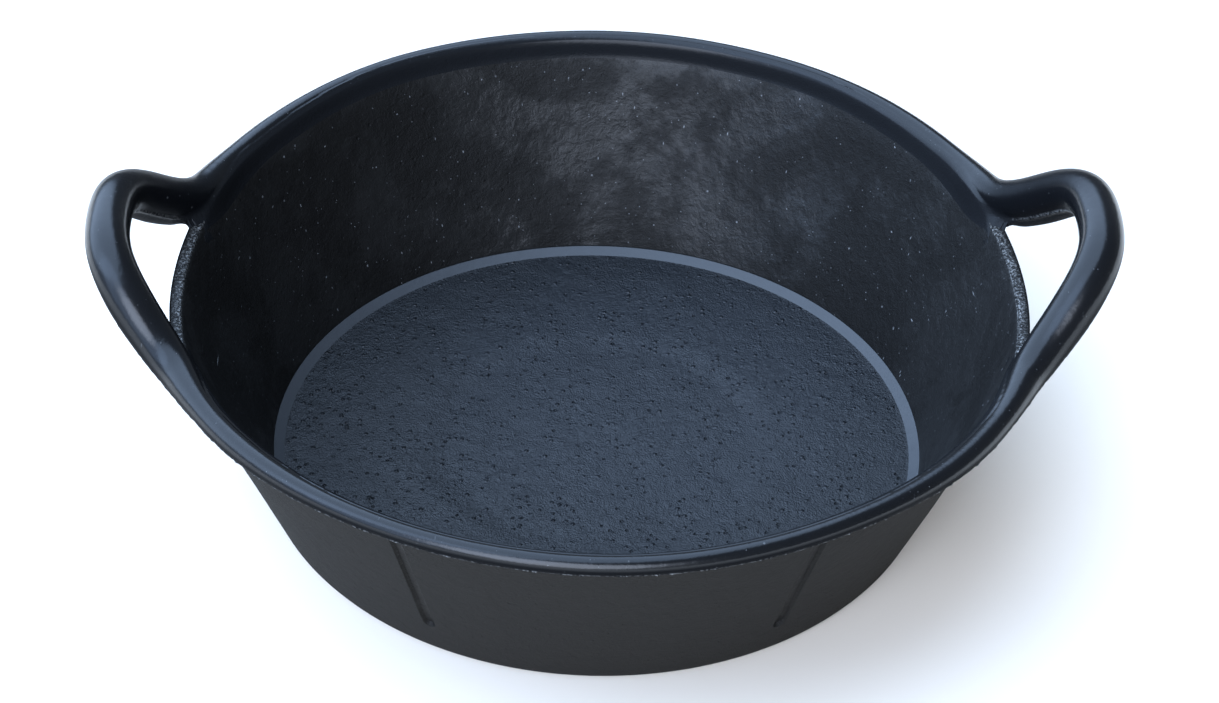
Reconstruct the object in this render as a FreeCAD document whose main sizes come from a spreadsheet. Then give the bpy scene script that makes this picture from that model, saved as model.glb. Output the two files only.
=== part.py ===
import FreeCAD, Part
import math
import os

import Sketcher
from FreeCAD import Placement, Rotation, Vector

# Round moulded-rubber tub with two loop handles. Millimetres.
# Origin: centre of the underside, on the floor it stands on. +Z up, handles on +X and -X.

doc = FreeCAD.newDocument("RubberTub")

SIZES = {
    # base
    "base_radius": 213.5,
    "floor_radius": 202.4,
    "floor_thickness": 9.4,
    "recess_radius": 114.0,
    "recess_slope": 12.0,
    "recess_depth": 1.5,
    "heel_height": 16.4,
    "heel_inner_radius": 210.4,
    "chamfer_radius": 209.0,
    "chamfer_height": 12.9,
    "heel_rounding": 3.0,
    # wall: wall_slope is how far it leans out for each millimetre it rises
    "wall_slope": 0.41,
    "wall_across": 7.0,
    "neck_height": 128.0,
    # rim and handles: radii of the rim circle and of the rope that runs round it
    "rim_radius": 272.8,
    "rim_height": 143.0,
    "bead_radius": 6.0,
    "grip_radius": 14.0,
    "rim_dip": 4.4,
    "root_swell": 1.2,
    "handle_reach": 33.2,
    "handle_rise": 46.5,
    "reach_half_width": 91.0,
    "rise_half_width": 87.0,
    # wall edge between the roots of a handle
    "scoop_floor": 132.0,
    "scoop_radius": 1300.0,
    # release grooves on the outside of the wall
    "groove_width": 7.5,
    "groove_depth": 1.8,
    "groove_bottom": 34.0,
    "groove_top": 132.0,
}

# Angles about +Z, counted from the middle of a handle: 90 is the front or back of the rim.
SPLIT_ANGLE = 45.0            # where a handle's rope meets the plain bead
DIP_ANGLES = (62.0, 30.0)     # the rim sinks by rim_dip between these
SWELL_ANGLES = (60.0, 30.0)   # the bead first thickens by root_swell
GROWTH_ANGLES = (30.0, 11.0)  # then grows to the grip's thickness
LOOP_POWER = 2.0              # above 1, the loop's top is flatter than a cosine's
LOOP_EASING = 15.0            # the loop is averaged this far to either side
GROOVE_ANGLES = (-117.5, -62.5, 62.5, 117.5)
HANDLE_SPANS = 32
BEAD_SPANS = 18


def make_sheet():
    sheet = doc.addObject("Spreadsheet::Sheet", "sizes")
    for row, (alias, value) in enumerate(SIZES.items(), start=1):
        sheet.set(f"A{row}", alias)
        sheet.set(f"B{row}", str(value))
        sheet.setAlias(f"B{row}", alias)
    doc.recompute()
    return sheet


sheet = make_sheet()


def size(alias):
    return float(getattr(sheet, alias))


# ---------------------------------------------------------------- turned parts

def origin_plane(body, role):
    return next(plane for plane in body.Origin.OriginFeatures if plane.Role == role)


def turned_body(name, outline):
    """A body turned about +Z from a closed outline of (radius, height) expressions."""
    body = doc.addObject("PartDesign::Body", name)
    sketch = body.newObject("Sketcher::SketchObject", name + "_outline")
    sketch.AttachmentSupport = [(origin_plane(body, "XZ_Plane"), "")]
    sketch.MapMode = "FlatFace"
    corners = [Vector(float(sheet.evalExpression(radius)), float(sheet.evalExpression(height)), 0)
               for radius, height in outline]
    count = len(corners)
    for index in range(count):
        sketch.addGeometry(Part.LineSegment(corners[index], corners[(index + 1) % count]), False)
    for index in range(count):
        following = (index + 1) % count
        sketch.addConstraint(Sketcher.Constraint("Coincident", index, 2, following, 1))
    for index, (radius, height) in enumerate(outline):
        for kind, text, reading in (("X", radius, corners[index].x), ("Y", height, corners[index].y)):
            if text == "0":
                axis = -2 if kind == "X" else -1
                sketch.addConstraint(Sketcher.Constraint("PointOnObject", index, 1, axis))
                continue
            made = sketch.addConstraint(
                Sketcher.Constraint("Distance" + kind, -1, 1, index, 1, reading))
            sketch.setExpression(f"Constraints[{made}]", text)
    turn = body.newObject("PartDesign::Revolution", name + "_turn")
    turn.Profile = sketch
    turn.ReferenceAxis = (sketch, ["V_Axis"])
    turn.Angle = 360
    doc.recompute()
    return body


def make_floor():
    return turned_body("floor_disc", [
        ("0", "0"),
        ("sizes.floor_radius", "0"),
        ("sizes.floor_radius", "sizes.floor_thickness"),
        ("sizes.recess_radius", "sizes.floor_thickness"),
        ("sizes.recess_radius - sizes.recess_slope", "sizes.floor_thickness - sizes.recess_depth"),
        ("0", "sizes.floor_thickness - sizes.recess_depth"),
    ])


def make_heel():
    """The ring at the foot of the wall: chamfered inside, rounded where it meets the ground."""
    body = turned_body("heel_ring", [
        ("sizes.floor_radius", "0"),
        ("sizes.base_radius", "0"),
        ("sizes.base_radius + sizes.heel_height * sizes.wall_slope", "sizes.heel_height"),
        ("sizes.heel_inner_radius", "sizes.heel_height"),
        ("sizes.chamfer_radius", "sizes.chamfer_height"),
        ("sizes.floor_radius", "sizes.floor_thickness"),
    ])
    turn = body.Tip
    for number, edge in enumerate(turn.Shape.Edges, start=1):
        low = edge.BoundBox.ZMax < 0.01
        if low and abs(edge.BoundBox.XMax - size("base_radius")) < 0.1:
            ground_edge = f"Edge{number}"
    fillet = body.newObject("PartDesign::Fillet", "heel_ring_rounding")
    fillet.Base = (turn, [ground_edge])
    fillet.setExpression("Radius", "sizes.heel_rounding")
    doc.recompute()
    return body


def make_wall_blank():
    """The wall before its edge is cut: it leans out, then flares into the rim bead."""
    straight_outer = "sizes.base_radius + sizes.neck_height * sizes.wall_slope"
    return turned_body("wall_blank", [
        ("sizes.heel_inner_radius", "sizes.heel_height"),
        ("sizes.base_radius + sizes.heel_height * sizes.wall_slope", "sizes.heel_height"),
        (straight_outer, "sizes.neck_height"),
        ("sizes.rim_radius + 0.2", "sizes.rim_height - 3.5"),
        ("sizes.rim_radius - 4.3", "sizes.rim_height + 1.5"),
        (straight_outer + " - sizes.wall_across", "sizes.neck_height"),
    ])


# ---------------------------------------------------------------- rope round the rim

def eased(angle, limits):
    """0 at the first of two angles, 1 at the second, with a smooth rise between them."""
    start, end = limits
    part = min(max((start - abs(angle)) / (start - end), 0.0), 1.0)
    return part * part * (3 - 2 * part)


def bell(across, half_width):
    """1 over the handle's middle, falling to 0 past half_width, with its bends eased."""
    total = 0.0
    for step in range(9):
        part = min(abs(across - LOOP_EASING + LOOP_EASING * step / 4) / half_width, 1.0)
        total += 0.5 * (1 + math.cos(math.pi * part ** LOOP_POWER))
    return total / 9


def rope_centre(angle):
    """Centre of the rope, for a handle at +X, at an angle from the handle's middle."""
    turn = math.radians(angle)
    across = size("rim_radius") * math.sin(turn)
    reach = size("handle_reach") * bell(across, size("reach_half_width"))
    rise = size("handle_rise") * bell(across, size("rise_half_width"))
    dip = size("rim_dip") * eased(min(abs(angle), 180 - abs(angle)), DIP_ANGLES)
    return Vector(size("rim_radius") * math.cos(turn) + reach, across,
                  size("rim_height") - dip + rise)


def rope_section(name, angle, turned):
    """One circle across the rope, with its seam on top so that sections line up."""
    circle = doc.addObject("Part::Circle", name)
    near = min(abs(angle), 180 - abs(angle))
    circle.setExpression(
        "Radius",
        f"sizes.bead_radius + sizes.root_swell * {eased(near, SWELL_ANGLES):.4f}"
        f" + (sizes.grip_radius - sizes.bead_radius - sizes.root_swell)"
        f" * {eased(near, GROWTH_ANGLES):.4f}")
    along = rope_centre(angle + 0.05) - rope_centre(angle - 0.05)
    along.normalize()
    up = Vector(0, 0, 1)
    upright = Placement(rope_centre(angle), Rotation(up, along.cross(up), along, "ZXY"))
    circle.Placement = Placement(Vector(), Rotation(up, turned)) * upright
    return circle


def rope(name, angles, turned):
    """The rope through sections at these angles, then turned about +Z to its own place."""
    loft = doc.addObject("Part::Loft", name)
    loft.Sections = [rope_section(f"{name}_section_{number}", angle, turned)
                     for number, angle in enumerate(angles)]
    loft.Solid = True
    loft.Ruled = True
    return loft


def make_rim_bead(name, turned):
    """The plain bead from one handle's rope to the other's."""
    width = 180.0 - 2 * SPLIT_ANGLE
    angles = [SPLIT_ANGLE + width * step / BEAD_SPANS for step in range(BEAD_SPANS + 1)]
    return rope(name, angles, turned)


def make_handle(name, turned):
    """The rope out of the rim, up, over the hand gap and back, in evenly long spans."""
    fine = [SPLIT_ANGLE * (step / 500 - 1) for step in range(1001)]
    travelled = [0.0]
    for before, after in zip(fine, fine[1:]):
        travelled.append(travelled[-1] + (rope_centre(after) - rope_centre(before)).Length)
    angles = [-SPLIT_ANGLE]
    for step in range(1, HANDLE_SPANS):
        wanted = travelled[-1] * step / HANDLE_SPANS
        angles.append(next(angle for angle, way in zip(fine, travelled) if way >= wanted))
    return rope(name, angles + [SPLIT_ANGLE], turned)


# ---------------------------------------------------------------- cuts in the wall

def make_scoop(name, side):
    """Lowers the wall's edge under a handle in one long shallow curve."""
    cutter = doc.addObject("Part::Cylinder", name)
    cutter.setExpression("Radius", "sizes.scoop_radius")
    cutter.Height = 200
    start = 200 if side > 0 else -400
    cutter.Placement = Placement(Vector(start, 0, size("scoop_floor") + size("scoop_radius")),
                                 Rotation(Vector(0, 1, 0), 90))
    return cutter


def make_groove(name, angle):
    """A slot with a round lower end, let into the outside of the wall along its slope."""
    turn = math.radians(angle)
    out = Vector(math.cos(turn), math.sin(turn), 0)
    rising = out * size("wall_slope") + Vector(0, 0, 1)
    rising.normalize()
    clockwise = Vector(math.sin(turn), -math.cos(turn), 0)
    foot = out * (size("base_radius") + size("groove_bottom") * size("wall_slope"))
    foot.z = size("groove_bottom")
    frame = Placement(foot, Rotation(clockwise, rising.cross(clockwise), rising, "ZXY"))
    depth = size("groove_depth")

    slot = doc.addObject("Part::Box", name + "_run")
    slot.setExpression("Length", "sizes.groove_width")
    slot.setExpression("Width", "sizes.groove_depth + 8")
    slot.setExpression(
        "Height", "(sizes.groove_top - sizes.groove_bottom) * sqrt(1 + sizes.wall_slope^2)")
    slot.Placement = frame * Placement(Vector(-size("groove_width") / 2, -depth, 0), Rotation())

    end = doc.addObject("Part::Cylinder", name + "_end")
    end.setExpression("Radius", "sizes.groove_width / 2")
    end.setExpression("Height", "sizes.groove_depth + 8")
    end.Placement = frame * Placement(Vector(0, -depth, 0), Rotation(Vector(1, 0, 0), -90))

    both = doc.addObject("Part::Fuse", name)
    both.Base = slot
    both.Tool = end
    return both


def make_wall(neighbours):
    cutters = [make_scoop("scoop_left", -1), make_scoop("scoop_right", 1)]
    cutters += [make_groove(f"groove_{number}", angle) for number, angle in enumerate(GROOVE_ANGLES)]
    shape = make_wall_blank()
    for number, tool in enumerate(cutters + neighbours):
        cut = doc.addObject("Part::Cut", f"wall_cut_{number}")
        cut.Base = shape
        cut.Tool = tool
        shape = cut
    shape.Label = "wall_band"
    return shape


# ---------------------------------------------------------------- the whole tub

beads = [make_rim_bead("rim_bead_front", 180.0), make_rim_bead("rim_bead_back", 0.0)]
handles = [make_handle("handle_left", 180.0), make_handle("handle_right", 0.0)]
pieces = [make_floor(), make_heel(), make_wall(beads + handles)] + beads + handles
doc.recompute()

for item in doc.Objects:
    if "Invalid" in item.State or "Error" in item.State:
        raise RuntimeError(f"{item.Label} did not recompute: {item.State}")

for piece in pieces:
    if piece.Shape.isNull() or not piece.Shape.isValid():
        raise RuntimeError(f"{piece.Label} has no valid shape")

os.makedirs("parts", exist_ok=True)
for piece in pieces:
    piece.Shape.exportStep(f"parts/{piece.Label}.step")
    box = piece.Shape.BoundBox
    print(f"{piece.Label}: {len(piece.Shape.Solids)} solid, {piece.Shape.Volume / 1000:.1f} cm3,",
          f"z {box.ZMin:.1f} to {box.ZMax:.1f}")
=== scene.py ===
import math

import bmesh
import bpy
import numpy as np
from mathutils import Matrix, Vector


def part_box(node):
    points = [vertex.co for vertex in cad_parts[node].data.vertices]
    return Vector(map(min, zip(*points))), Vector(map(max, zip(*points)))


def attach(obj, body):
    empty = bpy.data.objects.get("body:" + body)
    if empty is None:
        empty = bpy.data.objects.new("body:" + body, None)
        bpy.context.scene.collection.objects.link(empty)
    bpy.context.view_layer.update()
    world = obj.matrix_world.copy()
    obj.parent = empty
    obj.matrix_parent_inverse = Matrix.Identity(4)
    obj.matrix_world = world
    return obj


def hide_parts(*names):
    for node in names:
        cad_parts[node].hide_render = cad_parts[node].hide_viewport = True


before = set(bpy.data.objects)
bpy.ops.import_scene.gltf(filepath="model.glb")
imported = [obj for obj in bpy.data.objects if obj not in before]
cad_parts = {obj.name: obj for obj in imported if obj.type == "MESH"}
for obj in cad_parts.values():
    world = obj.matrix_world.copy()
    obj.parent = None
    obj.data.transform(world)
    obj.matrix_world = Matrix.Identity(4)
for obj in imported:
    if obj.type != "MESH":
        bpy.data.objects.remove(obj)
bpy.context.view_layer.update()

scene = bpy.context.scene
scene.view_settings.view_transform = "Standard"

# Metres. readTub() adds the main sizes from the frame; the rest follow the CAD's own values.
# Angles are degrees from the middle of a handle, except grooveAngles, which are about +Z.
tub = dict(beadRadius=0.006, rootRadius=0.0078, gripRadius=0.014, dip=0.0044, wallAcross=0.007,
           slope=0.41, neck=0.128, flare=0.19, reachHalf=0.091, riseHalf=0.087, split=45.0,
           dipAngles=(62.0, 30.0), swellAngles=(60.0, 30.0), growthAngles=(32.0, 11.0),
           recess=0.114, recessSlope=0.018, recessDepth=0.0018, scoop=0.132, scoopRadius=1.3,
           grooveWidth=0.0075, grooveDepth=0.003, grooveSpan=(0.034, 0.132),
           grooveAngles=(-117.5, -62.5, 62.5, 117.5))


def readTub():
    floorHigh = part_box("floor_disc")[1]
    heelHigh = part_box("heel_ring")[1]
    beadLow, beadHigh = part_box("rim_bead_front")
    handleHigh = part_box("handle_right")[1]
    tub["floorRadius"], tub["floorTop"] = floorHigh.x, floorHigh.z
    tub["heelTop"] = heelHigh.z
    tub["base"] = heelHigh.x - tub["slope"] * heelHigh.z
    tub["heelInner"] = tub["floorRadius"] + 0.008
    tub["rim"] = beadHigh.z - tub["beadRadius"]
    tub["rimRadius"] = -beadLow.y - tub["beadRadius"]
    tub["reach"] = handleHigh.x - tub["gripRadius"] - tub["rimRadius"]
    tub["rise"] = handleHigh.z - tub["gripRadius"] - tub["rim"] + tub["dip"]


readTub()
print("tub read from the frame, rim radius", round(tub["rimRadius"], 4))


def ramp(value, low, high):
    share = np.clip((value - low) / (high - low), 0.0, 1.0)
    return share * share * (3 - 2 * share)


# Zero below 0, value above it, with the corner rounded over width to either side.
def softStep(value, width):
    rounded = (value + width) ** 2 / (4 * width)
    return np.where(value <= -width, 0.0, np.where(value >= width, value, rounded))


# The lower of the two, rounded off where they meet.
def blendLow(first, second, width):
    gap = np.maximum(width - np.abs(first - second), 0.0) / width
    return np.minimum(first, second) - gap * gap * width * 0.25


# A smooth value from about -1 to 1 at each point, with bumps about pitch long.
def waves(points, pitch, seed):
    total = np.zeros(points.shape[:-1])
    for turn in range(5):
        angle = seed * 1.7 + turn * 2.4
        lean = math.sin(seed * 0.9 + turn * 1.3)
        flat = math.sqrt(1 - lean * lean * 0.8)
        way = np.array([math.cos(angle) * flat, math.sin(angle) * flat, lean * 0.9])
        rate = math.tau / (pitch * (0.75 + 0.17 * turn))
        total += np.sin(points @ way * rate + seed * (turn + 1) * 1.13)
    return total / 3.2


# An uneven value from 0 to 1 along a line, for torn or trimmed edges.
def ragged(along, seed):
    total = np.zeros_like(along)
    for turn in range(6):
        total += np.sin(along * (95 + 61 * turn * (1 + 0.13 * seed)) + seed * (2.1 + turn))
    return np.clip(0.5 + total / 6.5, 0.0, 1.0)


# count + 1 places from low to high, closer together round each (place, width, gain).
def spread(low, high, count, spots):
    fine = np.linspace(low, high, 8001)
    density = np.ones_like(fine)
    for place, width, gain in spots:
        density += gain * np.exp(-((fine - place) / width) ** 2)
    total = np.concatenate([[0.0], np.cumsum((density[1:] + density[:-1]) / 2)])
    return np.interp(np.linspace(0, total[-1], count + 1), total, fine)


# The slight unevenness of a moulding cooled out of its mould, none at the base.
def warp(points):
    share = ramp(points[..., 2], 0.02, 0.11)[..., None]
    moved = np.stack([waves(points, 0.16, 1), waves(points, 0.17, 2), waves(points, 0.19, 3)], -1)
    return points + moved * share * np.array([0.0007, 0.0007, 0.0005])


# The rope's middle, all the way round: angles in degrees about +Z, handles at 0 and 180.

def fromHandle(angle):
    folded = np.abs((angle + 180) % 360 - 180)
    return np.minimum(folded, 180 - folded)


def bell(across, half):
    total = 0.0
    for shift in np.linspace(-0.015, 0.015, 9):
        part = np.clip(np.abs(across + shift) / half, 0, 1)
        total = total + 0.5 * (1 + np.cos(np.pi * part ** 2))
    return total / 9


def rimDip(angle):
    start, end = tub["dipAngles"]
    return tub["dip"] * ramp(-fromHandle(angle), -start, -end)


def ropeMiddle(angle):
    turn = np.radians(angle)
    across = tub["rimRadius"] * np.sin(turn)
    side = np.sign(np.cos(turn))
    near = fromHandle(angle) < tub["split"]
    reach = np.where(near, tub["reach"] * bell(across, tub["reachHalf"]), 0)
    rise = np.where(near, tub["rise"] * bell(across, tub["riseHalf"]), 0)
    reach = reach * np.where(side < 0, 0.955, 1.07)
    rise = rise * np.where(side < 0, 0.953, 1.04)
    return np.stack([tub["rimRadius"] * np.cos(turn) + side * reach, across,
                     tub["rim"] - rimDip(angle) + rise], -1)


def ropeRadius(angle):
    near = -fromHandle(angle)
    first = ramp(near, -tub["swellAngles"][0], -tub["swellAngles"][1])
    second = ramp(near, -tub["growthAngles"][0], -tub["growthAngles"][1])
    return (tub["beadRadius"] + (tub["rootRadius"] - tub["beadRadius"]) * first
            + (tub["gripRadius"] - tub["rootRadius"]) * second)


def wallTop(angle):
    across = tub["rimRadius"] * np.sin(np.radians(angle))
    scoop = tub["scoop"] + across * across / (2 * tub["scoopRadius"])
    scoop = np.where(fromHandle(angle) < 50, scoop, 1.0)
    return blendLow(scoop, tub["rim"] - rimDip(angle), 0.001)


def wallOuter(height):
    return tub["base"] + tub["slope"] * height + tub["flare"] * softStep(height - tub["neck"], 0.007)


def wallInner(height):
    foot = tub["heelInner"] - tub["base"] - tub["slope"] * tub["heelTop"]
    share = ramp(height, tub["heelTop"], 0.09)
    return wallOuter(height) + foot + (-tub["wallAcross"] - foot) * share


# Distance to the wall's surface, below zero inside the wall.
def wallDistance(points):
    angle = np.degrees(np.arctan2(points[..., 1], points[..., 0]))
    radius = np.hypot(points[..., 0], points[..., 1])
    height = points[..., 2]
    outside = (radius - wallOuter(height)) * 0.9
    inside = (wallInner(height) - radius) * 0.9
    return np.maximum(np.maximum(outside, inside), height - wallTop(angle))


# A closed sheet through a table of points, made from the operator's grid.
def gridPiece(name, points, caps=False, values=None):
    rows, columns = points.shape[:2]
    bm = bmesh.new()
    bmesh.ops.create_grid(bm, x_segments=rows - 1, y_segments=columns - 1, size=1)
    start = np.array([vert.co[:2] for vert in bm.verts])
    row = np.rint((start[:, 0] + 1) / 2 * (rows - 1)).astype(int)
    column = np.rint((start[:, 1] + 1) / 2 * (columns - 1)).astype(int)
    for key in values or {}:
        layer = bm.verts.layers.float.new(key)
        for vert, value in zip(bm.verts, values[key][row, column]):
            vert[layer] = value
    for vert, place in zip(bm.verts, points[row, column]):
        vert.co = place
    bmesh.ops.remove_doubles(bm, verts=bm.verts[:], dist=0.000004)
    if caps:
        ends = [edge for edge in bm.edges if edge.is_boundary]
        bmesh.ops.holes_fill(bm, edges=ends, sides=0)
        for edge in ends:
            edge.smooth = False
    bmesh.ops.recalc_face_normals(bm, faces=bm.faces[:])
    for edge in bm.edges:
        if len(edge.link_faces) == 2 and edge.calc_face_angle(0) > 0.55:
            edge.smooth = False
    for face in bm.faces:
        face.smooth = len(face.verts) < 5
    mesh = bpy.data.meshes.new(name)
    bm.to_mesh(mesh)
    bm.free()
    piece = bpy.data.objects.new(name, mesh)
    scene.collection.objects.link(piece)
    print(name, len(mesh.polygons), "faces")
    return piece


# Rope: ring angles run from 0 up, through 90 outward and 180 down, to 270 inward.
rope = dict(step=0.0021, ring=84, outerLine=117.0, innerLine=226.0, lineHeight=0.00055,
            lineWidth=0.0005, innerWidth=0.0011, filletOut=0.0012, filletIn=0.0095,
            rootOut=0.004, rootIn=0.012, swelling=0.005, swellingRing=(188, 32),
            searchSteps=36, searchReach=1.7, bias=0.00012)


def ropePiece(name, start, end):
    fine = np.linspace(start, end, 4001)
    middle = ropeMiddle(fine)
    way = np.concatenate([[0], np.cumsum(np.linalg.norm(np.diff(middle, axis=0), axis=1))])
    spans = round(way[-1] / rope["step"])
    angle = np.interp(np.linspace(0, way[-1], spans + 1), way, fine)
    middle = ropeMiddle(angle)
    along = ropeMiddle(angle + 0.02) - ropeMiddle(angle - 0.02)
    along /= np.linalg.norm(along, axis=1)[:, None]
    up = np.array([0, 0, 1.0]) - along * along[:, 2:3]
    up /= np.linalg.norm(up, axis=1)[:, None]
    out = np.cross(along, up)
    ring = spread(0, 360, rope["ring"], [(rope["outerLine"], 7, 4), (rope["innerLine"], 7, 3)])
    turn = np.radians(ring)[None, :, None]
    toward = up[:, None, :] * np.cos(turn) + out[:, None, :] * np.sin(turn)
    radius = ropeRadius(angle)[:, None] * np.ones(len(ring))
    near = fromHandle(angle)
    root = (ramp(-near, -36, -24) * ramp(near, 8, 17))[:, None]
    swelling = ramp(-near, -20, -15.5) * ramp(near, 5, 14)
    inward = ramp(ring, 150, 230)[None, :]
    filletOut = rope["filletOut"] + (rope["rootOut"] - rope["filletOut"]) * root
    filletIn = rope["filletIn"] + (rope["rootIn"] - rope["filletIn"]) * root
    fillet = filletOut * (1 - inward) + inward * filletIn
    reached = radius.copy()
    found = np.zeros(radius.shape, bool)
    last = np.full(radius.shape, -1e-6)
    # Step outwards along each ray to the surface that blends the rope into the wall.
    stride = fillet * rope["searchReach"] / rope["searchSteps"]
    for count in range(1, rope["searchSteps"] + 1):
        tried = radius + stride * count
        points = middle[:, None, :] + toward * tried[..., None]
        value = blendLow(tried - radius, wallDistance(points) + rope["bias"], fillet)
        crossing = ~found & (value > 0)
        back = value / np.maximum(value - last, 1e-9)
        reached = np.where(crossing, tried - back * stride, reached)
        found |= crossing
        last = np.where(found, last, value)
    reached = np.where(found, reached, radius + fillet * rope["searchReach"])
    middleRing, spreadRing = rope["swellingRing"]
    below = np.exp(-((ring - middleRing) / spreadRing) ** 2)[None, :]
    reached = reached + rope["swelling"] * swelling[:, None] * below
    loose = ramp(-near, -18, -14)[:, None]
    where = np.linspace(0, way[-1], spans + 1)[:, None] + 0.31 * (start + 200)
    fromOuter = np.radians(ring - rope["outerLine"])[None, :] * radius
    fromInner = np.radians(ring - rope["innerLine"])[None, :] * radius
    outer = np.exp(-(fromOuter / rope["lineWidth"]) ** 2)
    inner = np.exp(-(fromInner / rope["innerWidth"]) ** 2)
    torn = ragged(where * 4, 1) * ragged(where * 13, 2) * 2
    outerLine = outer * torn * (1 - 0.55 * loose)
    innerLine = inner * loose * (0.6 + torn)
    reached = reached + rope["lineHeight"] * (outerLine + innerLine)
    points = warp(middle[:, None, :] + toward * reached[..., None])
    # Masks for the finish: under the rope and on the rear legs the coat is dull, on the web matt.
    rear = ramp(middle[:, 1], 0.005, 0.05) * ramp(-near, -24, -16)
    under = (ramp(ring, 68, 92) - ramp(ring, 212, 250))[None, :] * np.ones_like(radius)
    under = np.maximum(under, 0.8 * rear[:, None])
    web = ramp(reached - radius, 0.0002, 0.0022) * inward
    return gridPiece(name, points, caps=True, values={
        "line": np.clip(outerLine + innerLine * 1.3, 0, 1), "under": under, "web": web})


def floorPiece(name):
    radius, top = tub["floorRadius"], tub["floorTop"]
    out = np.linspace(0, radius, 9)
    back = spread(-radius, 0, 116, [(-tub["recess"], 0.012, 2), (-radius, 0.008, 3)])
    across = np.concatenate([out, -back])
    angle = np.radians(np.linspace(0, 360, 385))
    points = np.stack([across[:, None] * np.cos(angle), across[:, None] * np.sin(angle),
                       np.zeros((len(across), len(angle)))], -1)
    inside = ramp(-across, -tub["recess"] - 0.006, -(tub["recess"] - tub["recessSlope"]))
    height = top - tub["recessDepth"] * inside
    lip = softStep(across - radius, 0.0025) * 0.4
    uneven = waves(points, 0.06, 4) * 0.0004 + waves(points, 0.023, 5) * 0.00018
    uneven = uneven * ramp(radius - across, 0.0, 0.02)[:, None]
    upper = np.arange(len(across)) >= len(out)
    points[..., 2] = np.where(upper[:, None], (height + lip)[:, None] + uneven, 0)
    return gridPiece(name, points)


def turnedPiece(name, outline, columns, **masks):
    outline = np.array(outline + [outline[0]])
    angle = np.radians(np.linspace(0, 360, columns + 1))
    points = np.stack([outline[:, 0:1] * np.cos(angle), outline[:, 0:1] * np.sin(angle),
                       outline[:, 1:2] * np.ones_like(angle)], -1)
    full = np.ones((1, len(angle)))
    values = {key: np.array(mask + mask[:1])[:, None] * full for key, mask in masks.items()}
    return gridPiece(name, points, values=values)


def line(start, end, count):
    return [(start[0] + (end[0] - start[0]) * part / count,
             start[1] + (end[1] - start[1]) * part / count) for part in range(count)]


def heelPiece(name):
    inner, outer, top = tub["floorRadius"], tub["base"], tub["heelTop"]
    lip = 0.0025 / 4 * 0.4
    outline = line((inner, 0), (outer - 0.003, 0), 3)
    for part in range(9):
        turn = math.radians(-90 + 68 * part / 8)
        outline.append((outer - 0.003 + 0.0035 * math.cos(turn), 0.0035 + 0.0035 * math.sin(turn)))
    outerTop = outer + tub["slope"] * top
    outline += line((outer + tub["slope"] * 0.004, 0.004), (outerTop, top), 5)
    outline += line((outerTop, top), (tub["heelInner"], top), 3)
    edge = (tub["heelInner"] - 0.0014, top - 0.0035)
    foot = (inner, tub["floorTop"] + lip)
    outside = [1.0] * (len(outline) - 1) + [0.0]
    outline += line((tub["heelInner"], top), edge, 5)
    chamfer = [0.0] * len(outline)
    outline += line(edge, foot, 9) + [foot]
    chamfer += [1.0] * (len(outline) - len(chamfer))
    outline.append((inner, 0.003))
    outside += [0.0] * (len(outline) - len(outside))
    chamfer.append(0.0)
    return turnedPiece(name, outline, 384, outside=outside, chamfer=chamfer)


def wallPiece(name):
    low = tub["heelTop"]
    spots = [(place, 2.0, 5) for place in tub["grooveAngles"]]
    spots += [(place, 2.5, 1.2) for place in (-164, -16, 16, 164)]
    angle = spread(-180, 180, 640, spots)
    grooveFoot = (tub["grooveSpan"][0] - low) / (tub["rim"] - low)
    up = spread(0, 1, 60, [(grooveFoot, 0.05, 1.6), (0.93, 0.06, 0.8)])
    down = 1 - spread(0, 1, 50, [(0.06, 0.06, 1.0)])
    edge = np.linspace(0, 1, 9)
    foot = np.linspace(1, 0, 4)
    rows = np.concatenate([up, np.ones(9), down, np.zeros(4)])
    across = np.concatenate([np.zeros(61), edge, np.ones(51), foot])
    trim = np.concatenate([np.zeros(61), np.ones(9), np.zeros(55)])
    top = wallTop(angle)
    height = low + rows[:, None] * (top - low)[None, :]
    wide = across[:, None] * np.ones(len(angle))
    bare = ramp(-fromHandle(angle), -20, -15)[None, :]
    corner = np.sin(np.pi * np.clip(wide, 0, 1)) ** 0.35
    where = np.radians(angle)[None, :] * tub["rimRadius"]
    rough = (ragged(where * 5 + wide * 3, 3) - 0.5) * 0.0006 + (ragged(where * 17, 4) - 0.5) * 0.0004
    height = height + trim[:, None] * bare * (corner * 0.0009 - 0.0009 + rough)
    outer = wallOuter(height)
    inner = wallInner(height)
    radius = outer + (inner - outer) * wide
    outside = (across == 0)[:, None]
    dustAndGrooveShade = 1 - wide
    first, last = tub["grooveSpan"]
    for place in tub["grooveAngles"]:
        sideways = np.radians(angle[None, :] - place) * radius
        past = np.maximum(first - height, 0) + np.maximum(height - last, 0)
        gap = np.hypot(sideways, past)
        half = tub["grooveWidth"] / 2
        sunk = outside * ramp(-gap, -half - 0.0005, -half + 0.0008)
        radius = radius - tub["grooveDepth"] * sunk
        # Painted shade: inside each groove the outer-wall mask is halved, so the groove is coloured
        # darker, towards the inner wall's colour, for the shade in the recess.
        dustAndGrooveShade = dustAndGrooveShade - 0.5 * sunk
    turn = np.radians(angle)[None, :]
    points = np.stack([radius * np.cos(turn), radius * np.sin(turn), height], -1)
    uneven = waves(points, 0.06, 6) * 0.0003 + waves(points, 0.024, 7) * 0.00016
    uneven = uneven * ramp(height, low, low + 0.02) * np.where(wide > 0.99, 1, 0.3)
    uneven = uneven * ramp(top[None, :] - height, 0.008, 0.03)
    points[..., 0] += uneven * np.cos(turn)
    points[..., 1] += uneven * np.sin(turn)
    bareTrim = trim[:, None] * bare * np.ones_like(wide)
    nearTop = np.exp(-((top[None, :] - height) / 0.0012) ** 2) * bare
    return gridPiece(name, warp(points), values={
        "outside": dustAndGrooveShade, "trim": np.maximum(bareTrim, nearTop * 0.6)})


# Materials: node groups shared by the rubber finishes.

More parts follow.
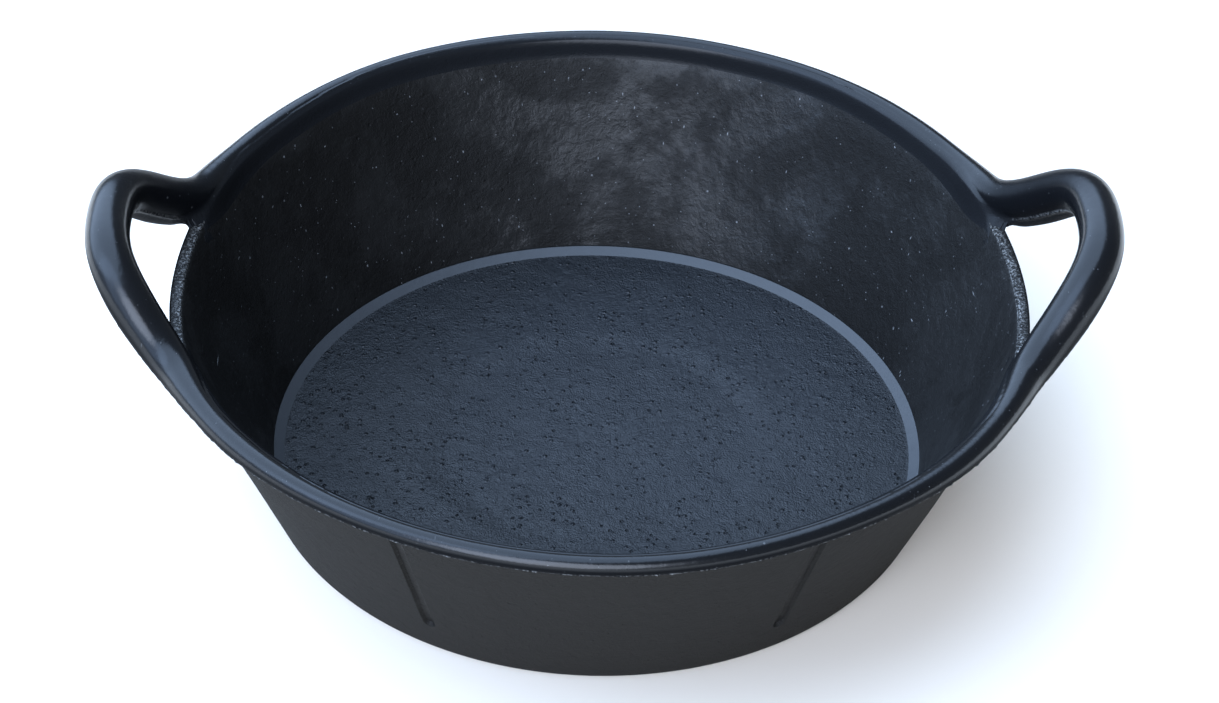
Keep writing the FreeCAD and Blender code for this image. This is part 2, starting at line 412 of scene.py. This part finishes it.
def addNode(tree, kind, inputs=None, **settings):
    node = tree.nodes.new("ShaderNode" + kind)
    for key, value in settings.items():
        setattr(node, key, value)
    for key, value in (inputs or {}).items():
        if isinstance(value, bpy.types.NodeSocket):
            tree.links.new(value, node.inputs[key])
        else:
            node.inputs[key].default_value = value
    return node


def newGroup(name, takes, gives):
    tree = bpy.data.node_groups.new(name, "ShaderNodeTree")
    for key, kind, value in takes:
        socket = tree.interface.new_socket(key, in_out="INPUT", socket_type="NodeSocket" + kind)
        if value is not None:
            socket.default_value = value
    for key, kind in gives:
        tree.interface.new_socket(key, in_out="OUTPUT", socket_type="NodeSocket" + kind)
    source = tree.nodes.new("NodeGroupInput")
    target = tree.nodes.new("NodeGroupOutput")
    return tree, source.outputs, target.inputs


def useGroup(tree, group, inputs):
    node = tree.nodes.new("ShaderNodeGroup")
    node.node_tree = group
    for key, value in inputs.items():
        if isinstance(value, bpy.types.NodeSocket):
            tree.links.new(value, node.inputs[key])
        else:
            node.inputs[key].default_value = value
    return node.outputs


def rangeOf(tree, value, low, high, start=0.0, end=1.0):
    limits = {"Value": value, "From Min": low, "From Max": high, "To Min": start, "To Max": end}
    return addNode(tree, "MapRange", limits, interpolation_type="SMOOTHSTEP").outputs["Result"]


def sums(tree, operation, first, second):
    return addNode(tree, "Math", {0: first, 1: second}, operation=operation).outputs[0]


# Surface relief of moulded rubber: pebbles, wrinkles and pits as one height, and its patches.
def makeGrain():
    tree, takes, gives = newGroup("rubberGrain", [
        ("Vector", "Vector", None), ("Pebble", "Float", 0.5), ("Wrinkle", "Float", 0.5),
        ("Pits", "Float", 0.5)], [("Height", "Float"), ("Patch", "Float")])
    place = takes["Vector"]
    bend = addNode(tree, "TexNoise", {"Vector": place, "Scale": 60.0, "Detail": 2.0}).outputs["Color"]
    moved = addNode(tree, "VectorMath", {0: bend, 1: (0.012, 0.012, 0.012)},
                    operation="MULTIPLY").outputs[0]
    moved = addNode(tree, "VectorMath", {0: place, 1: moved}, operation="ADD").outputs[0]
    cell = addNode(tree, "TexVoronoi", {"Vector": place, "Scale": 240.0})
    chance = addNode(tree, "SeparateColor", {"Color": cell.outputs["Color"]}).outputs
    pebble = sums(tree, "MULTIPLY", rangeOf(tree, cell.outputs["Distance"], 0.42, 0.08),
                  rangeOf(tree, chance[0], 0.55, 1.0))
    pit = sums(tree, "MULTIPLY", rangeOf(tree, cell.outputs["Distance"], 0.34, 0.12, 0.0, -1.0),
               rangeOf(tree, chance[1], 0.8, 0.95))
    wrinkle = addNode(tree, "TexNoise", {"Vector": moved, "Scale": 105.0, "Detail": 5.0,
                                         "Roughness": 0.66, "Distortion": 0.3}).outputs["Fac"]
    gate = addNode(tree, "TexNoise", {"Vector": place, "Scale": 26.0, "Detail": 2.0}).outputs["Fac"]
    pit = sums(tree, "MULTIPLY", pit, rangeOf(tree, gate, 0.40, 0.55))
    fine = addNode(tree, "TexNoise", {"Vector": place, "Scale": 900.0, "Detail": 3.0}).outputs["Fac"]
    height = sums(tree, "MULTIPLY", pebble, takes["Pebble"])
    height = sums(tree, "ADD", height, sums(tree, "MULTIPLY", wrinkle, takes["Wrinkle"]))
    height = sums(tree, "ADD", height, sums(tree, "MULTIPLY", pit, takes["Pits"]))
    height = sums(tree, "ADD", height, sums(tree, "MULTIPLY", fine, 0.3))
    patch = addNode(tree, "TexNoise", {"Vector": place, "Scale": 15.0, "Detail": 8.0, "Roughness": 0.68,
                                       "Distortion": 0.4}).outputs["Fac"]
    tree.links.new(height, gives["Height"])
    tree.links.new(patch, gives["Patch"])
    return tree


# White dust specks and fine scratches, as one mask.
def makeWear():
    tree, takes, gives = newGroup("dustAndScratches", [
        ("Vector", "Vector", None), ("Specks", "Float", 0.5), ("Scratches", "Float", 0.5)],
        [("Mask", "Float")])
    place = takes["Vector"]
    cell = addNode(tree, "TexVoronoi", {"Vector": place, "Scale": 150.0})
    speck = rangeOf(tree, cell.outputs["Distance"], 0.16, 0.04)
    lucky = addNode(tree, "SeparateColor", {"Color": cell.outputs["Color"]}).outputs[0]
    speck = sums(tree, "MULTIPLY", speck, rangeOf(tree, lucky, 0.93, 0.99))
    small = addNode(tree, "TexVoronoi", {"Vector": place, "Scale": 420.0})
    grit = rangeOf(tree, small.outputs["Distance"], 0.22, 0.08)
    lucky = addNode(tree, "SeparateColor", {"Color": small.outputs["Color"]}).outputs[0]
    grit = sums(tree, "MULTIPLY", grit, rangeOf(tree, lucky, 0.9, 0.98))
    speck = sums(tree, "MULTIPLY", sums(tree, "MAXIMUM", speck, grit), takes["Specks"])
    lines = None
    for turn, stretch in (((0.0, 0.35, 0.2), (240, 240, 11)), ((0.6, 0.2, 1.1), (210, 16, 190))):
        turned = addNode(tree, "Mapping", {"Vector": place, "Rotation": turn,
                                           "Scale": stretch}).outputs[0]
        cell = addNode(tree, "TexVoronoi", {"Vector": turned, "Scale": 1.0})
        mark = rangeOf(tree, cell.outputs["Distance"], 0.13, 0.05)
        lucky = addNode(tree, "SeparateColor", {"Color": cell.outputs["Color"]}).outputs[0]
        mark = sums(tree, "MULTIPLY", mark, rangeOf(tree, lucky, 0.88, 0.96))
        lines = mark if lines is None else sums(tree, "MAXIMUM", lines, mark)
    lines = sums(tree, "MULTIPLY", lines, takes["Scratches"])
    tree.links.new(sums(tree, "MAXIMUM", speck, lines), gives["Mask"])
    return tree


grain = makeGrain()
wear = makeWear()
finishes = {
    # floor: the second colour here is a painted sheen, lighter and bluer than the rubber, laid round a
    # point near the floor's middle for the sky's reflection
    "floor": dict(colour=(0.0072, 0.0084, 0.0100), dust=(0.10, 0.11, 0.12), roughness=(0.22, 0.44),
                  pebble=0.5, wrinkle=0.6, pits=1.0, specks=0.7, scratches=0.1, bump=0.0028,
                  specular=0.46, paintedSheen=(0.0108, 0.0127, 0.0157), sheenCentre=(0.035, 0.045, 0.005)),
    "wall": dict(colour=(0.0058, 0.0054, 0.0050), dust=(0.16, 0.165, 0.17), roughness=(0.55, 0.75),
                 pebble=0.2, wrinkle=0.85, pits=0.35, specks=0.9, scratches=1.0, bump=0.0016,
                 specular=0.14, worn=(0.34, 0.34, 0.33), coatRoughness=0.36, coatIor=1.45,
                 # wall: the chamfer colour is a painted sheen, lighter and bluer than the rubber, for
                 # the sky's reflection on the chamfer ring
                 outside=(0.0148, 0.0137, 0.0122), chamfer=(0.034, 0.038, 0.043)),
    "rim": dict(colour=(0.0032, 0.0036, 0.0045), dust=(0.14, 0.145, 0.15), roughness=(0.5, 0.62),
                pebble=0.0, wrinkle=0.4, pits=0.1, specks=0.5, scratches=0.3, bump=0.0006,
                specular=0.04, worn=(0.24, 0.24, 0.235), coatRoughness=0.17, coatIor=1.42,
                web=(0.0085, 0.0092, 0.0105)),
}


def blend(tree, share, first, second):
    first = first if isinstance(first, bpy.types.NodeSocket) else (*first, 1)
    return addNode(tree, "Mix", {0: share, 6: first, 7: (*second, 1)}, data_type="RGBA").outputs[2]


def readMask(tree, key):
    return addNode(tree, "Attribute", attribute_name=key).outputs["Fac"]


def makeFinish(name, kind):
    look = finishes[kind]
    material = bpy.data.materials.new(name)
    material.use_nodes = True
    tree = material.node_tree
    shader = tree.nodes["Principled BSDF"]
    shader.inputs["Specular IOR Level"].default_value = look["specular"]
    place = addNode(tree, "TexCoord").outputs["Object"]
    relief = useGroup(tree, grain, {"Vector": place, "Pebble": look["pebble"],
                                    "Wrinkle": look["wrinkle"], "Pits": look["pits"]})
    mask = useGroup(tree, wear, {"Vector": place, "Specks": look["specks"],
                                 "Scratches": look["scratches"]})["Mask"]
    height = relief["Height"]
    roughness = rangeOf(tree, relief["Patch"], 0.35, 0.65, *look["roughness"])
    colour = blend(tree, mask, look["colour"], look["dust"])
    # Painted sheen: the floor's middle is coloured lighter and bluer, fading out towards its edge, for
    # the sky's reflection.
    if kind == "floor":
        middle = addNode(tree, "VectorMath", {0: place, 1: look["sheenCentre"]},
                         operation="DISTANCE").outputs["Value"]
        middle = sums(tree, "ADD", middle, sums(tree, "MULTIPLY", relief["Patch"], 0.07))
        paintedSheen = rangeOf(tree, middle, 0.22, 0.12)
        colour = blend(tree, paintedSheen, colour, look["paintedSheen"])
    else:
        amount = readMask(tree, "trim" if kind == "wall" else "line")
        chips = addNode(tree, "TexNoise", {"Vector": place, "Scale": 620.0, "Detail": 3.0,
                                           "Roughness": 0.7}).outputs["Fac"]
        chips = rangeOf(tree, chips, 0.42, 0.62)
        worn = sums(tree, "MULTIPLY", amount, chips)
        colour = blend(tree, worn, colour, look["worn"])
        roughness = sums(tree, "MAXIMUM", roughness, sums(tree, "MULTIPLY", amount, 0.75))
        height = sums(tree, "ADD", height, sums(tree, "MULTIPLY", worn, 0.8))
    if kind == "rim":
        web = readMask(tree, "web")
        dull = sums(tree, "MAXIMUM", readMask(tree, "under"), sums(tree, "MULTIPLY", web, 0.75))
        shine = sums(tree, "SUBTRACT", 1.0, dull)
        colour = blend(tree, web, colour, look["web"])
        deeper = sums(tree, "ADD", 1.0, sums(tree, "MULTIPLY", web, 1.2))
        height = sums(tree, "MULTIPLY", height, deeper)
    if kind == "wall":
        outside = readMask(tree, "outside")
        # The outer wall's dusty colour; inside the grooves the mask is halved, which paints shade there
        # as a darker colour.
        colour = blend(tree, outside, colour, look["outside"])
        roughness = sums(tree, "MAXIMUM", roughness, sums(tree, "MULTIPLY", outside, 0.85))
        shine = rangeOf(tree, relief["Patch"], 0.44, 0.60, 0.12, 0.60)
        # Painted sheen: the chamfer ring is coloured lighter and bluer, for the sky's reflection there;
        # its coat is full and its bump flattened.
        chamfer = readMask(tree, "chamfer")
        colour = blend(tree, chamfer, colour, look["chamfer"])
        shine = sums(tree, "MAXIMUM", shine, chamfer)
        shine = sums(tree, "MULTIPLY", shine, sums(tree, "SUBTRACT", 1.0, outside))
        flat = sums(tree, "SUBTRACT", 1.0, sums(tree, "MULTIPLY", chamfer, 0.8))
        height = sums(tree, "MULTIPLY", height, flat)
    tree.links.new(colour, shader.inputs["Base Color"])
    tree.links.new(roughness, shader.inputs["Roughness"])
    bump = addNode(tree, "Bump", {"Height": height, "Distance": look["bump"], "Strength": 1.0})
    tree.links.new(bump.outputs["Normal"], shader.inputs["Normal"])
    if kind != "floor":
        tree.links.new(shine, shader.inputs["Coat Weight"])
        shader.inputs["Coat Roughness"].default_value = look["coatRoughness"]
        shader.inputs["Coat IOR"].default_value = look["coatIor"]
        ripple = addNode(tree, "TexNoise", {"Vector": place, "Scale": 105.0, "Detail": 5.0,
                                            "Roughness": 0.66, "Distortion": 0.3}).outputs["Fac"]
        if kind == "wall":
            ripple = sums(tree, "MULTIPLY", ripple, flat)
        gloss = addNode(tree, "Bump", {"Height": ripple, "Distance": look["bump"] * look["wrinkle"],
                                       "Strength": 1.0})
        tree.links.new(gloss.outputs["Normal"], shader.inputs["Coat Normal"])
    return material


# Camera, floor and light.
view = dict(target=(0.0065, -0.0003, 0.0828), distance=2.144, azimuth=-2.285, elevation=37.93,
            roll=1.6, lens=99.43)
sky = dict(low=(0.152, 0.178, 0.21), paper=(0.95, 0.83, 0.69), lobes=[
    ((-0.5, 0.35, 0.79), (0.58, 0.74), (1.78, 2.45, 3.55)),
    ((-0.62, -0.5, 0.6), (0.78, 0.90), (0.78, 1.12, 1.78)),
    ((-0.2, -0.85, 0.5), (0.86, 0.95), (4.4, 5.0, 6.2)),
    ((-0.2, -0.97, 0.12), (0.7, 0.98), (0.6, 0.66, 0.74)),
    ((-0.97, -0.1, 0.15), (0.6, 0.95), (0.32, 0.44, 0.64))])


def makeSet():
    target = Vector(view["target"])
    azimuth, elevation = math.radians(view["azimuth"]), math.radians(view["elevation"])
    back = Vector((math.sin(azimuth) * math.cos(elevation), -math.cos(azimuth) * math.cos(elevation),
                   math.sin(elevation)))
    right = Vector((0, 0, 1)).cross(back).normalized()
    facing = Matrix((right, back.cross(right), back)).transposed().to_4x4()
    camera = bpy.data.objects.new("camera", bpy.data.cameras.new("camera"))
    camera.data.lens = view["lens"]
    camera.data.sensor_width = 36
    camera.matrix_world = (Matrix.Translation(target + back * view["distance"]) @ facing
                           @ Matrix.Rotation(math.radians(view["roll"]), 4, "Z"))
    scene.collection.objects.link(camera)
    scene.camera = camera
    bm = bmesh.new()
    bmesh.ops.create_grid(bm, x_segments=1, y_segments=1, size=4)
    mesh = bpy.data.meshes.new("studioFloor")
    bm.to_mesh(mesh)
    bm.free()
    floor = bpy.data.objects.new("studioFloor", mesh)
    scene.collection.objects.link(floor)
    paper = bpy.data.materials.new("paper")
    paper.use_nodes = True
    paper.node_tree.nodes["Principled BSDF"].inputs["Base Color"].default_value = (*sky["paper"], 1)
    paper.node_tree.nodes["Principled BSDF"].inputs["Roughness"].default_value = 0.9
    floor.data.materials.append(paper)


def makeSky():
    world = bpy.data.worlds.new("sky")
    scene.world = world
    world.use_nodes = True
    tree = world.node_tree
    toward = addNode(tree, "TexCoord").outputs["Generated"]
    total = sky["low"]
    for way, limits, colour in sky["lobes"]:
        facing = addNode(tree, "VectorMath", {0: toward, 1: Vector(way).normalized()},
                         operation="DOT_PRODUCT").outputs["Value"]
        glow = addNode(tree, "VectorMath", {0: rangeOf(tree, facing, *limits), 1: colour},
                       operation="MULTIPLY").outputs[0]
        total = addNode(tree, "VectorMath", {0: total, 1: glow}, operation="ADD").outputs[0]
    tree.links.new(total, tree.nodes["Background"].inputs["Color"])


makeSet()
makeSky()
print("set made")

pieces = {
    "floor_disc": floorPiece("floorDisc"),
    "heel_ring": heelPiece("heelRing"),
    "wall_band": wallPiece("wallBand"),
    "rim_bead_front": ropePiece("rimBeadFront", -135, -45),
    "rim_bead_back": ropePiece("rimBeadBack", 45, 135),
    "handle_left": ropePiece("handleLeft", 135, 225),
    "handle_right": ropePiece("handleRight", -45, 45),
}
finish = {"floor_disc": makeFinish("floorRubber", "floor")}
finish["wall_band"] = makeFinish("wallRubber", "wall")
finish["heel_ring"] = finish["wall_band"]
rimFinish = makeFinish("rimRubber", "rim")
for node, piece in pieces.items():
    piece.data.materials.append(finish.get(node, rimFinish))
    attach(piece, "root")
    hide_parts(node)
print("pieces placed")
